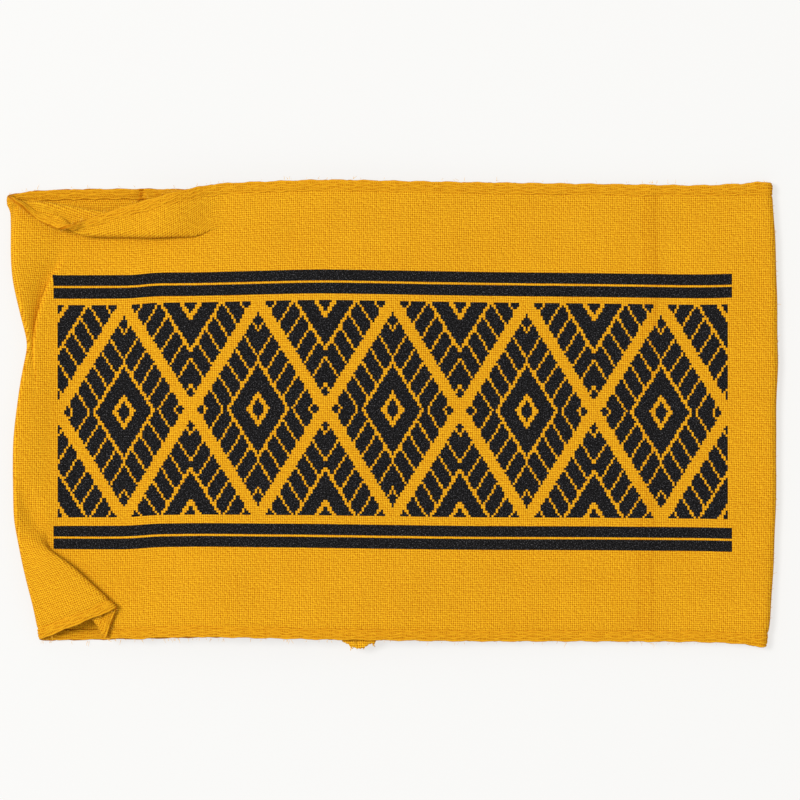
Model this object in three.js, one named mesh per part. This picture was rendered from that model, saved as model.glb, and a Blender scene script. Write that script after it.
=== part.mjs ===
import * as THREE from 'three';

// A cloth armband that lies flat on a surface: one loop of cloth, sewn together behind, with a narrow
// hem along both edges. Its right end is a pressed fold and its left end a loose roll with a corner
// folded over at the top, a tuck at the side and a pleat at the bottom.
// Sizes are in mm. X runs along the band, Y from the lower hem to the upper one, Z up.

const clothThickness = 1;
const hemThickness = 1.2; // the turned edge adds a little on the inside
const hemWidth = 2.5;
const hemSlit = 0.5; // between a hem and the cloth that it is turned from
const hemSlitReach = 0.4; // the most of a step between rows that half the slit may take
const layerPitch = 1.7; // from one folded layer to the next, middle to middle
const bandHeight = 119.3; // from hem to hem, measured on the flat cloth
const middleOfBack = clothThickness / 2;
const woolColour = 0xeca61a;

// The left end, a roll: where its outline stands and how high its top layer is.
const leftEnd = [
  { y: -58.9, x: -91.5, top: 2.8 },
  { y: -49.8, x: -93.2, top: 4.0 },
  { y: -42.2, x: -94.9, top: 4.6 },
  { y: -33.9, x: -96.8, top: 5.0 },
  { y: -27.4, x: -98.0, top: 5.3 },
  { y: -14.3, x: -98.4, top: 5.5 },
  { y: -1.3, x: -98.0, top: 5.6 },
  { y: 13.3, x: -95.3, top: 5.0 },
  { y: 18.5, x: -94.2, top: 4.8 },
  { y: 26.6, x: -96.3, top: 4.8 },
  { y: 35.2, x: -98.6, top: 5.0 },
  { y: 44.6, x: -99.1, top: 4.8 },
  { y: 50.8, x: -99.2, top: 4.2 },
  { y: 55.6, x: -99.3, top: 3.6 },
  { y: 56.5, x: -100.3, top: 3.3 },
  { y: 57.2, x: -100.2, top: 3.2 },
];
const leftRollDepth = 3;
const leftRollReach = 14; // how far in the front takes to come to its own height
const leftRollColumns = 2;

// The right end, a pressed fold.
const rightEnd = [
  { y: -60.2, x: 97.4 },
  { y: -53.5, x: 98.4 },
  { y: -42, x: 99.2 },
  { y: -27.4, x: 99.8 },
  { y: -14.3, x: 100 },
  { y: -1.3, x: 99.8 },
  { y: 13.3, x: 100.5 },
  { y: 26.6, x: 100.3 },
  { y: 42.5, x: 99.9 },
  { y: 58.5, x: 98.9 },
];
const rightFoldDepth = 1.6;
const rightFoldColumns = 4;

// The hems' edges along the band, in front and behind.
const hemLines = [
  { x: -100, frontLower: -58.9, frontUpper: 56.6, backLower: -58.9, backUpper: 57.4 },
  { x: -96, frontLower: -58.6, frontUpper: 57.5, backLower: -58.9, backUpper: 58.4 },
  { x: -90, frontLower: -58.4, frontUpper: 60, backLower: -58.8, backUpper: 58.7 },
  { x: -70, frontLower: -58.0, frontUpper: 60, backLower: -58.6, backUpper: 59.2 },
  { x: -49, frontLower: -57.6, frontUpper: 60, backLower: -57.9, backUpper: 58.7 },
  { x: -19, frontLower: -58.3, frontUpper: 61.2, backLower: -58, backUpper: 59 },
  { x: 22, frontLower: -58.9, frontUpper: 60.5, backLower: -58.4, backUpper: 59.4 },
  { x: 49, frontLower: -58.9, frontUpper: 60.2, backLower: -58.5, backUpper: 59.4 },
  { x: 82, frontLower: -59.1, frontUpper: 59.7, backLower: -58.7, backUpper: 59.3 },
  { x: 96, frontLower: -59.9, frontUpper: 60.6, backLower: -59.6, backUpper: 60.2 },
];

// How high the middle of the front's cloth stands, from the loose roll to the pressed fold.
const frontHeights = [
  { x: -98, z: 4 },
  { x: -86, z: 3.5 },
  { x: -76, z: 3.9 },
  { x: -60, z: 5.2 },
  { x: -48, z: 6.15 },
  { x: -14, z: 6.15 },
  { x: 5, z: 5.3 },
  { x: 30, z: 3.8 },
  { x: 62, z: 3.35 },
  { x: 100, z: 3.2 },
];
const creaseColumns = [65.6, 67.3, 69]; // an old storage crease: a low rib
const creaseRise = 0.35;

// The tuck at the left end: how far in from the outline its edge runs, and how far the cloth beside it
// is pressed down.
const tuck = [
  { y: -28.5, inset: 5, drop: 0 },
  { y: -10, inset: 6.5, drop: 0 },
  { y: 6, inset: 4.6, drop: 0 },
  { y: 13, inset: 2.2, drop: 0.2 },
  { y: 18.5, inset: 1.1, drop: 1.1 },
  { y: 21.4, inset: 2, drop: 1.7 },
  { y: 24.3, inset: 3.1, drop: 2.1 },
  { y: 28.7, inset: 5.3, drop: 2.4 },
  { y: 31, inset: 6.6, drop: 2.3 },
  { y: 35.2, inset: 8.9, drop: 1.8 },
  { y: 37.8, inset: 10.6, drop: 1.1 },
  { y: 40.5, inset: 12.6, drop: 0.4 },
  { y: 44, inset: 12.6, drop: 0 },
];
const tuckOverhang = 0.08;

// How far the cloth sinks in before the pleat. The dip slants, so each column meets it further down the
// further in that column stands.
const pleatDip = [
  { y: -30, depth: 0 },
  { y: -25, depth: 1 },
  { y: -21.3, depth: 1.9 },
  { y: -17.5, depth: 1 },
  { y: -13, depth: 0 },
];
const pleatDipSlant = 7; // mm down for a whole inset

// The pleat at the bottom left starts at one point. Its ridge and its valley run from there to the hem.
const lowerPleat = {
  start: [-94.9, -28.5],
  ridgeAtHem: [-71.6, -50.2],
  valleyAtHem: [-74.2, -57.9],
  onset: 0.5, // share of its length over which it rises
  flapRise: 0.6, // share of the flap's width, past which it lies on the layers below
};
const lowerPleatHeight = 30.4;

// Columns of the net from the left end inwards. inset is a share of the tuck's inset. In the pleat a
// column lies on the flap, on the layer under it or on the front, at a share of that layer's length.
// layers counts how many layer pitches it stands above the front, and ramp the same where the layers are
// too short to lie flat. drop is its share of the tuck's drop, and dip its share of the pleat's dip.
const pleatColumns = [
  { inset: 0, layer: 'flap', share: 0, layers: 2, ramp: 2, drop: 0, dip: 0.1 },
  { inset: 0.15, layer: 'flap', share: 0.07, layers: 2, ramp: 2, drop: 0.05, dip: 0.3 },
  { inset: 0.3, layer: 'flap', share: 0.15, layers: 2, ramp: 2, drop: 0.15, dip: 0.55 },
  { inset: 0.52, layer: 'flap', share: 0.42, layers: 2, ramp: 2, drop: 0.35, dip: 0.8 },
  { inset: 0.7, layer: 'flap', share: 0.7, layers: 2, ramp: 2, drop: 0.6, dip: 0.95 },
  { inset: 0.86, layer: 'flap', share: 0.93, layers: 2, ramp: 2, drop: 0.9, dip: 1 },
  { inset: 1.03, layer: 'flap', share: 1, layers: 2, ramp: 1.9, drop: 1, overhang: 1, dip: 1 },
  { inset: 1.07, layer: 'under', share: 0, layers: 1, ramp: 1.45, drop: 0, overhang: -1, dip: 1 },
  { inset: 1.26, layer: 'under', share: 0.2, layers: 1, ramp: 1.15, drop: 0, dip: 1 },
  { inset: 1.4, layer: 'under', share: 0.8, layers: 1, ramp: 0.85, drop: 0, dip: 1 },
  { inset: 1.5, layer: 'under', share: 1, layers: 1, ramp: 0.55, drop: 0, dip: 1 },
  { inset: 1.6, layer: 'front', share: 0, layers: 0, ramp: 0.1, drop: 0, dip: 0.9 },
  { inset: 1.6, layer: 'front', share: 0.14, layers: 0, ramp: 0, drop: 0, dip: 0.45 },
  { inset: 1.6, layer: 'front', share: 0.34, layers: 0, ramp: 0, drop: 0, dip: 0.1 },
  { inset: 1.6, layer: 'front', share: 0.56, layers: 0, ramp: 0, drop: 0 },
  { inset: 1.6, layer: 'front', share: 0.78, layers: 0, ramp: 0, drop: 0 },
];

// Places of the plain columns along the front and the back.
const frontColumns = [
  -62, -59, -56, -53, -49.8, -45, -37, -28, -18, -8, 4, 16, 28, 40, 52, 61,
  ...creaseColumns, 73, 82, 91,
];
const backColumns = [88, 68, 46, 24, 8, -8, -26, -46, -64, -80, -90];

// The corner folded over at the top left, along the band from its inner end: the valley where the front
// turns back down, the ridge where it turns up again, the hem, and how much of the last fold is there.
const cornerStart = -44.6;
const cornerTurn = 5; // how far along the fold its lines have come apart
const cornerOnset = 14; // how far along it has risen to full height
const cornerTip = 56; // how far along it has run out at the left roll
const cornerFade = 8;
const tipRows = { first: -1.6, step: 0.27 }; // the rows past the tip, from the valley's line
const cornerFold = [
  { along: 0, valleyY: 47.5, ridgeX: -44.6, ridgeY: 46.8, hemX: -44.6, hemY: 60.3, strip: 1 },
  { along: 4, valleyY: 48.2, ridgeX: -48.6, ridgeY: 46.8, hemX: -48.6, hemY: 59.6, strip: 1 },
  { along: 12, valleyY: 49.7, ridgeX: -57, ridgeY: 46.6, hemX: -57, hemY: 57.6, strip: 1 },
  { along: 20, valleyY: 51.1, ridgeX: -65.4, ridgeY: 46.4, hemX: -65.2, hemY: 55.3, strip: 1 },
  { along: 28, valleyY: 52.5, ridgeX: -73.8, ridgeY: 46.6, hemX: -73.4, hemY: 52.8, strip: 1 },
  { along: 34, valleyY: 53.2, ridgeX: -80.1, ridgeY: 46.8, hemX: -79.5, hemY: 50.5, strip: 1 },
  { along: 37, valleyY: 53.7, ridgeX: -83, ridgeY: 46.9, hemX: -82.5, hemY: 49.3, strip: 0.75 },
  { along: 40.3, valleyY: 54.2, ridgeX: -86.2, ridgeY: 47.7, hemX: -85.9, hemY: 48, strip: 0.2 },
  { along: 45, valleyY: 54.9, ridgeX: -90.6, ridgeY: 50, hemX: -90.6, hemY: 50.1, strip: 0 },
  { along: 49, valleyY: 55.4, ridgeX: -94.3, ridgeY: 52.3, hemX: -94.3, hemY: 52.4, strip: 0 },
  { along: 54, valleyY: 55.9, ridgeX: -98.5, ridgeY: 54.5, hemX: -98.5, hemY: 54.6, strip: 0 },
  { along: 56, valleyY: 56.1, ridgeX: -99.6, ridgeY: 55.1, hemX: -99.6, hemY: 55.2, strip: 0 },
];

// Rows of the net: plain ones from the lower hem up, then those of the folded corner. Each of these lies
// between two lines of the fold, on a layer counted from the front, and where the fold has no strip left
// they share the way from valley to hem. height is a row's own on the flat cloth.
const plainRows = [
  { upTo: 0, steps: 1 },
  { upTo: hemWidth, steps: 1 },
  { upTo: lowerPleatHeight, steps: 7 },
  { upTo: 46, steps: 6 },
  { upTo: 70, steps: 3 },
  { upTo: 79, steps: 3 },
  { upTo: 100, steps: 5 },
  { upTo: 104, steps: 1 },
];
const cornerRows = [
  { height: 106, from: 'front', share: 0, layers: 0, ramp: 0, rolled: 0, stand: 0 },
  { height: 107, from: 'valley', share: 0, layers: 0, ramp: 0.1, rolled: 0, stand: 0 },
  { height: 107.4, from: 'valley', share: 0, layers: 1, ramp: 0.55, rolled: 0, stand: 0 },
  { height: 107.8, from: 'valley', share: 0.22, layers: 1, ramp: 0.85, rolled: 0.14, stand: 0 },
  { height: 108.2, from: 'valley', share: 0.78, layers: 1, ramp: 1.15, rolled: 0.26, stand: 0 },
  { height: 108.6, from: 'ridge', share: 0, layers: 1, ramp: 1.45, rolled: 0.36, stand: 0.05 },
  { height: 109, from: 'ridge', share: 0, layers: 2, ramp: 1.9, rolled: 0.43, stand: 0.13 },
  { height: 112.3, from: 'ridge', share: 0.4, layers: 2, ramp: 2, rolled: 0.5, stand: 0.24 },
  { height: bandHeight - hemWidth, from: 'hem', share: 0, layers: 2, ramp: 2, rolled: 0.58, stand: 0.36 },
  { height: bandHeight, from: 'hem', share: 1, layers: 2, ramp: 2, rolled: 1, stand: 1 },
];
const cornerBend = 1.5; // from the valley to the row before it
const upperLayerRise = 1.8; // how fast the upper layer comes with the strip
const hemStand = { strip: 3, tip: 2.8 }; // how far the hem stands up where a fold turns over

// A layer has to be this long to lie flat on the next one, and shorter ones slope.
const flatLayer = { from: 1.5, to: 5 };

// The seam behind: its allowance lies pressed flat on the inside, and its ragged end hangs out below the
// hem. The outline of that end is measured from the seam's middle.
const seam = { middle: -8.8, halfWidth: 4.6, thickness: 1, bottom: 1.5, top: 57.5 };
const seamEnd = [
  [-4.6, -58.2],
  [-3.7, -59.7],
  [-1.6, -60.1],
  [0.5, -60.9],
  [3.2, -60.2],
  [4.6, -58.2],
];

const mix = (a, b, share) => a + (b - a) * share;
const mixPoints = (a, b, share) => a.map((value, axis) => mix(value, b[axis], share));
const clamp = (value) => Math.min(1, Math.max(0, value));

function smooth(value) {
  const share = clamp(value);
  return share * share * (3 - 2 * share);
}

const distance = (a, b) => Math.hypot(a[0] - b[0], a[1] - b[1]);

// How many layer pitches a column or a row of a fold stands up, given the length of the middle layer.
function layersOf(part, length) {
  return mix(part.ramp, part.layers, smooth((length - flatLayer.from) / (flatLayer.to - flatLayer.from)));
}

// Reads one column of a table at a place between its rows.
function read(table, key, column, place) {
  const next = table.findIndex((row) => row[key] > place);
  if (next === 0) return table[0][column];
  if (next < 0) return table[table.length - 1][column];
  const [low, high] = [table[next - 1], table[next]];
  return mix(low[column], high[column], (place - low[key]) / (high[key] - low[key]));
}

// The height on the flat cloth of each row.
function rowHeights() {
  const heights = [];
  for (const { upTo, steps } of plainRows) {
    const from = heights.length ? heights[heights.length - 1] : upTo;
    for (let step = 1; step <= steps; step++) heights.push(mix(from, upTo, step / steps));
  }
  return [...heights, ...cornerRows.map((part) => part.height)];
}

const heights = rowHeights();
const firstCornerRow = heights.length - cornerRows.length;

// Where a height on the flat cloth lies, in front or behind.
function placeOf(height, x, side) {
  const lower = read(hemLines, 'x', `${side}Lower`, x);
  const upper = read(hemLines, 'x', `${side}Upper`, x);
  return mix(lower, upper, height / bandHeight);
}

function frontHeight(x, y) {
  const edge = read(leftEnd, 'y', 'x', y);
  const share = smooth((x - edge) / leftRollReach);
  const rib = x === creaseColumns[1] ? creaseRise : 0;
  return mix(read(leftEnd, 'y', 'top', y), read(frontHeights, 'x', 'z', x), share) + rib;
}

const dipAt = (column, y) =>
  read(pleatDip, 'y', 'depth', y + pleatDipSlant * column.inset) * (column.dip ?? 0);

// A column's place in the plain cloth of the front, before the pleat or the corner is folded.
function plainPoint(column, height) {
  const y = placeOf(height, column.x ?? leftEnd[0].x, 'front');
  if (column.x !== undefined) return [column.x, y, frontHeight(column.x, y)];
  const edge = read(leftEnd, 'y', 'x', y);
  const inset = read(tuck, 'y', 'inset', y);
  const drop = read(tuck, 'y', 'drop', y);
  const start = edge + column.inset * inset;
  const x = column.layer === 'front' ? mix(start, frontColumns[0], column.share) : start;
  const overhang = tuckOverhang * (column.overhang ?? 0) * drop;
  const dip = dipAt(column, y);
  return [x + overhang, y, frontHeight(x, y) - column.drop * drop - dip];
}

// The same place once the pleat at the bottom left is folded. Its lines all start at one point, so a row
// crosses each of them at the same share of its length.
function pleatedPoint(column, height) {
  const plain = plainPoint(column, height);
  const down = (lowerPleatHeight - height) / lowerPleatHeight;
  if (down <= 0 || column.x !== undefined) return plain;
  const edgeY = placeOf(height, leftEnd[0].x, 'front');
  const edge = [read(leftEnd, 'y', 'x', edgeY), edgeY];
  const ridge = mixPoints(lowerPleat.start, lowerPleat.ridgeAtHem, down);
  const valley = mixPoints(lowerPleat.start, lowerPleat.valleyAtHem, down);
  const edgeTop = read(leftEnd, 'y', 'top', edgeY);
  const base = frontHeight(valley[0], valley[1]);
  const dip = dipAt(column, edgeY);
  const lift = layerPitch * layersOf(column, distance(ridge, valley)) - dip;
  const places = {
    flap: () => {
      const rise = smooth(column.share / lowerPleat.flapRise);
      return [...mixPoints(edge, ridge, column.share), mix(edgeTop, base + lift, rise)];
    },
    under: () => [...mixPoints(ridge, valley, column.share), base + lift],
    front: () => {
      const x = mix(valley[0], frontColumns[0], column.share);
      return [x, mix(valley[1], plain[1], column.share), frontHeight(x, valley[1]) + lift];
    },
  };
  return mixPoints(plain, places[column.layer](), smooth(down / lowerPleat.onset));
}

// A place in the folded corner. Inwards of its start the cloth is plain.
function cornerPoint(column, row) {
  const plain = pleatedPoint(column, heights[row]);
  const [x, plainY] = pleatedPoint(column, heights[firstCornerRow]);
  const along = cornerStart - x;
  if (along <= 0) return plain;
  const part = cornerRows[row - firstCornerRow];
  const at = (name) => read(cornerFold, 'along', name, along);
  const valley = [x, at('valleyY')];
  const ridge = [at('ridgeX'), at('ridgeY')];
  const hem = [at('hemX'), at('hemY')];
  const hemShare = hemWidth / Math.max(distance(ridge, hem), hemWidth);
  const hemStart = mixPoints(hem, ridge, hemShare);
  const lines = {
    front: [[x, valley[1] - cornerBend], valley],
    valley: [valley, ridge],
    ridge: [ridge, hemStart],
    hem: [hemStart, hem],
  };
  const strip = at('strip');
  const folded = mixPoints(...lines[part.from], part.share);
  const rolled = mixPoints(valley, hem, part.rolled);
  const turned = part.from === 'front' ? folded : mixPoints(rolled, folded, strip);
  const openY = valley[1] + tipRows.first + tipRows.step * (row - firstCornerRow);
  const open = [x + read(leftEnd, 'y', 'x', openY) - read(leftEnd, 'y', 'x', plainY), openY];
  const tip = smooth((cornerTip - along) / cornerFade);
  const place = mixPoints(open, turned, tip);
  const layers = layersOf(part, distance(valley, ridge));
  const lift = mix(Math.min(layers, 1), layers, smooth(strip * upperLayerRise)) * layerPitch;
  const turning = 4 * (hemStand.strip * strip * (1 - strip) + hemStand.tip * tip * (1 - tip));
  const [foldX, foldY] = mixPoints(plain, place, smooth(along / cornerTurn));
  const foldZ = mix(plain[2], frontHeight(...place) + lift * tip, smooth(along / cornerOnset));
  return [foldX, foldY, foldZ + part.stand * turning];
}

const frontPoint = (column, row) =>
  row < firstCornerRow ? pleatedPoint(column, heights[row]) : cornerPoint(column, row);

const backPoint = (x, row) => [x, placeOf(heights[row], x, 'back'), middleOfBack];

// One row of the net: along the front, round the right fold, back along the back and round the left roll.
function netRow(row) {
  const front = frontColumns.map((x) => frontPoint({ x }, row));
  const [, rightY, rightTop] = front[front.length - 1];
  const right = read(rightEnd, 'y', 'x', rightY);
  const rightBackY = placeOf(heights[row], right, 'back');
  const rightFold = [
    [right - rightFoldDepth, rightY, rightTop],
    [right, rightY, rightTop],
    [right, rightBackY, middleOfBack],
    [right - rightFoldDepth, rightBackY, middleOfBack],
  ];
  const back = backColumns.map((x) => backPoint(x, row));
  const pleat = pleatColumns.map((column) => frontPoint(column, row));
  const left = pleat[0][0];
  const leftRoll = [backPoint(left + leftRollDepth, row), backPoint(left, row)];
  return [...front, ...rightFold, ...back, ...leftRoll, ...pleat];
}

const net = heights.map((_, row) => netRow(row).map((point) => new THREE.Vector3(...point)));
const columnCount = net[0].length;
const lastRow = heights.length - 1;

// A net point. Columns close on themselves, and past either hem the rows go straight on.
function netPoint(column, row) {
  const around = (column + columnCount) % columnCount;
  if (row < 0) return net[0][around].clone().multiplyScalar(2).sub(net[1][around]);
  if (row > lastRow) return net[lastRow][around].clone().multiplyScalar(2).sub(net[lastRow - 1][around]);
  return net[row][around];
}

// Weights of four neighbours in a uniform cubic B-spline, and the weights of its slope.
const splineWeights = (f) => [
  (1 - f) ** 3 / 6,
  (3 * f ** 3 - 6 * f ** 2 + 4) / 6,
  (-3 * f ** 3 + 3 * f ** 2 + 3 * f + 1) / 6,
  f ** 3 / 6,
];
const splineSlopes = (f) => [
  -((1 - f) ** 2) / 2,
  (3 * f ** 2 - 4 * f) / 2,
  (-3 * f ** 2 + 2 * f + 1) / 2,
  f ** 2 / 2,
];

// The smooth surface over the net: the sum of 4 by 4 net points, each with its two weights.
function blendNet(u, v, weightsU, weightsV) {
  const [column, row] = [Math.floor(u), Math.min(Math.floor(v), lastRow - 1)];
  const [acrossU, acrossV] = [weightsU(u - column), weightsV(v - row)];
  const sum = new THREE.Vector3();
  acrossU.forEach((weightU, i) => acrossV.forEach((weightV, j) => {
    sum.addScaledVector(netPoint(column + i - 1, row + j - 1), weightU * weightV);
  }));
  return sum;
}

const middleAt = (u, v) => blendNet(u, v, splineWeights, splineWeights);
const slopeUp = (u, v) => blendNet(u, v, splineWeights, splineSlopes);
const normalAt = (u, v) => blendNet(u, v, splineSlopes, splineWeights).cross(slopeUp(u, v)).normalize();

// The row place where a hem's slit is cut, half the slit before or after a row of the net.
function slitPlace(u, row, side) {
  const halfSlit = hemSlit / 2 / slopeUp(u, row).length();
  return row + side * Math.min(halfSlit, hemSlitReach);
}

// A closed wall round the whole loop: an outer skin, an inner skin, and a rim at each end.
function wall(rowPlaces, inside) {
  const outside = clothThickness / 2;
  const skin = columnPlaces.map((u) => rowPlaces.map((place) => {
    const v = typeof place === 'function' ? place(u) : place;
    return { middle: middleAt(u, v), normal: normalAt(u, v) };
  }));
  const rows = rowPlaces.length;
  const perColumn = rows * 2;
  const positions = skin.flatMap((points) => [
    ...points.map(({ middle, normal }) => middle.clone().addScaledVector(normal, outside)),
    ...points.map(({ middle, normal }) => middle.clone().addScaledVector(normal, -inside)).reverse(),
  ]);
  const faces = [];
  for (let column = 0; column < skin.length; column++) {
    const here = column * perColumn;
    const there = ((column + 1) % skin.length) * perColumn;
    for (let step = 0; step < perColumn; step++) {
      const next = (step + 1) % perColumn;
      faces.push(here + step, there + step, there + next, here + step, there + next, here + next);
    }
  }
  const geometry = new THREE.BufferGeometry().setFromPoints(positions);
  geometry.setIndex(faces);
  return geometry;
}

// Net lines from first to last, and one place more inside each bend.
function placesAlong(first, last, bends) {
  const places = [];
  for (let line = first; line <= last; line++) {
    places.push(line);
    if (bends.includes(line)) places.push(line + 0.5);
  }
  return places;
}

// The net lines after which a fold passes from one layer to another.
const bendsIn = (parts, first) => parts.flatMap((part, i) =>
  (i + 1 < parts.length && parts[i + 1].layers !== part.layers ? [first + i] : []));

const rightFoldStart = frontColumns.length;
const leftRollStart = rightFoldStart + rightFoldColumns + backColumns.length;
const pleatStart = leftRollStart + leftRollColumns;
const columnBends = [rightFoldStart + 1, leftRollStart + 1, ...bendsIn(pleatColumns, pleatStart)];
const columnPlaces = placesAlong(0, columnCount - 1, columnBends);

const lowerHemRow = 1;
const upperHemRow = lastRow - 1;
const rowBends = bendsIn(cornerRows, firstCornerRow);
const bandRows = placesAlong(lowerHemRow + 1, upperHemRow - 1, rowBends);

const bandWall = () => wall(
  [(u) => slitPlace(u, lowerHemRow, 1), ...bandRows, (u) => slitPlace(u, upperHemRow, -1)],
  clothThickness / 2,
);
const hemInside = hemThickness - clothThickness / 2;
const lowerHemWall = () => wall([0, 0.5, (u) => slitPlace(u, lowerHemRow, -1)], hemInside);
const upperHemWall = () => wall([(u) => slitPlace(u, upperHemRow, 1), lastRow - 0.5, lastRow], hemInside);

// The seam allowance: a straight strip with a ragged, narrowing end.
function seamStrip() {
  const corners = [[-seam.halfWidth, seam.top], ...seamEnd, [seam.halfWidth, seam.top]];
  const outline = new THREE.Shape(corners.map(([x, y]) => new THREE.Vector2(x, y)));
  const strip = new THREE.ExtrudeGeometry(outline, { depth: seam.thickness, bevelEnabled: false });
  return strip.translate(seam.middle, 0, seam.bottom);
}

const wool = () => new THREE.MeshStandardMaterial({ color: woolColour, roughness: 0.95, metalness: 0 });

const armband = new THREE.Group();
for (const [name, geometry] of [
  ['band', bandWall()],
  ['lower_hem', lowerHemWall()],
  ['upper_hem', upperHemWall()],
  ['back_seam', seamStrip()],
]) {
  const piece = new THREE.Mesh(geometry, wool());
  piece.name = name;
  armband.add(piece);
}

// The origin is under the middle of the band, on the surface that it lies on.
const extent = new THREE.Box3().setFromObject(armband);
const centre = extent.getCenter(new THREE.Vector3());
armband.position.set(-centre.x, -centre.y, -extent.min.z);

export default armband;
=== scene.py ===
"""A cloth armband that lies flat: one loop of mustard wool with a black woven frieze of lozenges.

Everything is worked out in millimetres on the flat plan, X along the band, Y from the lower hem to the
upper one, Z up, and put into the meshes in metres.
"""

import bpy
import numpy as np
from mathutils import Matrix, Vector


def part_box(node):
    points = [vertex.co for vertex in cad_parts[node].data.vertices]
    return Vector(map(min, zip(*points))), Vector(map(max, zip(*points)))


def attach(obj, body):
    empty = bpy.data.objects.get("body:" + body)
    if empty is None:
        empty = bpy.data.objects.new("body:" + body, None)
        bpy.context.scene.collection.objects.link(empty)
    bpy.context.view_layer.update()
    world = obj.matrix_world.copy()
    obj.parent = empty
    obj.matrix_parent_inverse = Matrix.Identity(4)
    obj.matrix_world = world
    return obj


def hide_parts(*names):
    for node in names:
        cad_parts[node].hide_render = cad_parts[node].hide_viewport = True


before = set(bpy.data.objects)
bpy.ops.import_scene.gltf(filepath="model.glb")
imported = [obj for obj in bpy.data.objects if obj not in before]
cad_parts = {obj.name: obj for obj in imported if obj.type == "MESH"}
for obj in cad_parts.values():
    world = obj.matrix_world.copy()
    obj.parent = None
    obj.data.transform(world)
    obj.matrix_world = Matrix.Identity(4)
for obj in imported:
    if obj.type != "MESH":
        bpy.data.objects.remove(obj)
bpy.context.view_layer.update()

MM = 0.001


def table(names, *rows):
    """Rows of numbers as named columns."""
    return dict(zip(names.split(), np.array(rows, float).T))


# The same named sizes and tables as the solids', in mm on the flat plan.
CLOTH_THICKNESS = 1.0
HEM_WIDTH = 2.5
LAYER_PITCH = 1.7
BAND_HEIGHT = 119.3
MIDDLE_OF_BACK = 0.5

# The edge of the loose roll at the left, and how high its top stands.
LEFT_END = table(
    "y x top",
    (-58.9, -91.5, 2.8), (-49.8, -93.2, 4.0), (-42.2, -94.9, 4.6), (-33.9, -96.8, 5.0), (-27.4, -98.0, 5.3),
    (-14.3, -98.4, 5.5), (-1.3, -98.0, 5.6), (13.3, -95.3, 5.0), (18.5, -94.2, 4.8), (26.6, -96.3, 4.8),
    (35.2, -98.6, 5.0), (44.6, -99.1, 4.8), (50.8, -99.2, 4.2), (55.6, -99.3, 3.6),
    (56.5, -100.3, 3.3), (57.2, -100.2, 3.2),
)
LEFT_ROLL_DEPTH = 3.0
LEFT_ROLL_REACH = 14.0
# The edge of the pressed fold at the right.
RIGHT_END = table(
    "y x",
    (-60.2, 97.4), (-53.5, 98.4), (-42, 99.2), (-27.4, 99.8), (-14.3, 100),
    (-1.3, 99.8), (13.3, 100.5), (26.6, 100.3), (42.5, 99.9), (58.5, 98.9),
)
RIGHT_FOLD_DEPTH = 1.6
# Both hems' lines, in front and behind.
HEM_LINES = table(
    "x front_lower front_upper back_lower back_upper",
    (-100, -58.9, 56.6, -58.9, 57.4), (-96, -58.6, 57.5, -58.9, 58.4),
    (-90, -58.4, 60, -58.8, 58.7), (-70, -58.0, 60, -58.6, 59.2),
    (-49, -57.6, 60, -57.9, 58.7), (-19, -58.3, 61.2, -58, 59),
    (22, -58.9, 60.5, -58.4, 59.4), (49, -58.9, 60.2, -58.5, 59.4),
    (82, -59.1, 59.7, -58.7, 59.3), (96, -59.9, 60.6, -59.6, 60.2),
)
# The height of the front, and the rib of the storage crease on it.
FRONT_HEIGHTS = table(
    "x z",
    (-98, 4), (-86, 3.5), (-76, 3.9), (-60, 5.2), (-48, 6.15),
    (-14, 6.15), (5, 5.3), (30, 3.8), (62, 3.35), (100, 3.2),
)
CREASE_RIB = 67.3
CREASE_RISE = 0.35
# The tuck in the left edge: how far it reaches in, and how deep it is pressed.
TUCK = table(
    "y inset drop",
    (-28.5, 5, 0), (-10, 6.5, 0), (6, 4.6, 0), (13, 2.2, 0.2), (18.5, 1.1, 1.1), (21.4, 2, 1.7),
    (24.3, 3.1, 2.1), (28.7, 5.3, 2.4), (31, 6.6, 2.3), (35.2, 8.9, 1.8), (37.8, 10.6, 1.1),
    (40.5, 12.6, 0.4), (44, 12.6, 0),
)
TUCK_OVERHANG = 0.08
# The pleat at the lower left: from one point of the edge, a ridge and a valley run to the hem.
PLEAT_START = np.array([-94.9, -28.5])
PLEAT_RIDGE_AT_HEM = np.array([-71.6, -50.2])
PLEAT_VALLEY_AT_HEM = np.array([-74.2, -57.9])
PLEAT_ONSET = 0.5
FLAP_RISE = 0.6
PLEAT_HEIGHT = 30.4
FLAP, UNDER, FRONT = 0, 1, 2
PLEAT_DIP = table("y depth", (-30, 0), (-25, 1), (-21.3, 1.9), (-17.5, 1), (-13, 0))
PLEAT_DIP_SLANT = 7.0
# The net's columns at the left end: shares of the tuck and the dip above the pleat, and in the pleat a
# share of one layer at a height in layers.
PLEAT_COLUMNS = table(
    "inset layer share layers ramp drop overhang dip",
    (0, FLAP, 0, 2, 2, 0, 0, 0.1), (0.15, FLAP, 0.07, 2, 2, 0.05, 0, 0.3),
    (0.3, FLAP, 0.15, 2, 2, 0.15, 0, 0.55), (0.52, FLAP, 0.42, 2, 2, 0.35, 0, 0.8),
    (0.7, FLAP, 0.7, 2, 2, 0.6, 0, 0.95), (0.86, FLAP, 0.93, 2, 2, 0.9, 0, 1),
    (1.03, FLAP, 1, 2, 1.9, 1, 1, 1), (1.07, UNDER, 0, 1, 1.45, 0, -1, 1),
    (1.26, UNDER, 0.2, 1, 1.15, 0, 0, 1), (1.4, UNDER, 0.8, 1, 0.85, 0, 0, 1),
    (1.5, UNDER, 1, 1, 0.55, 0, 0, 1), (1.6, FRONT, 0, 0, 0.1, 0, 0, 0.9),
    (1.6, FRONT, 0.14, 0, 0, 0, 0, 0.45), (1.6, FRONT, 0.34, 0, 0, 0, 0, 0.1),
    (1.6, FRONT, 0.56, 0, 0, 0, 0, 0), (1.6, FRONT, 0.78, 0, 0, 0, 0, 0),
)
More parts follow.
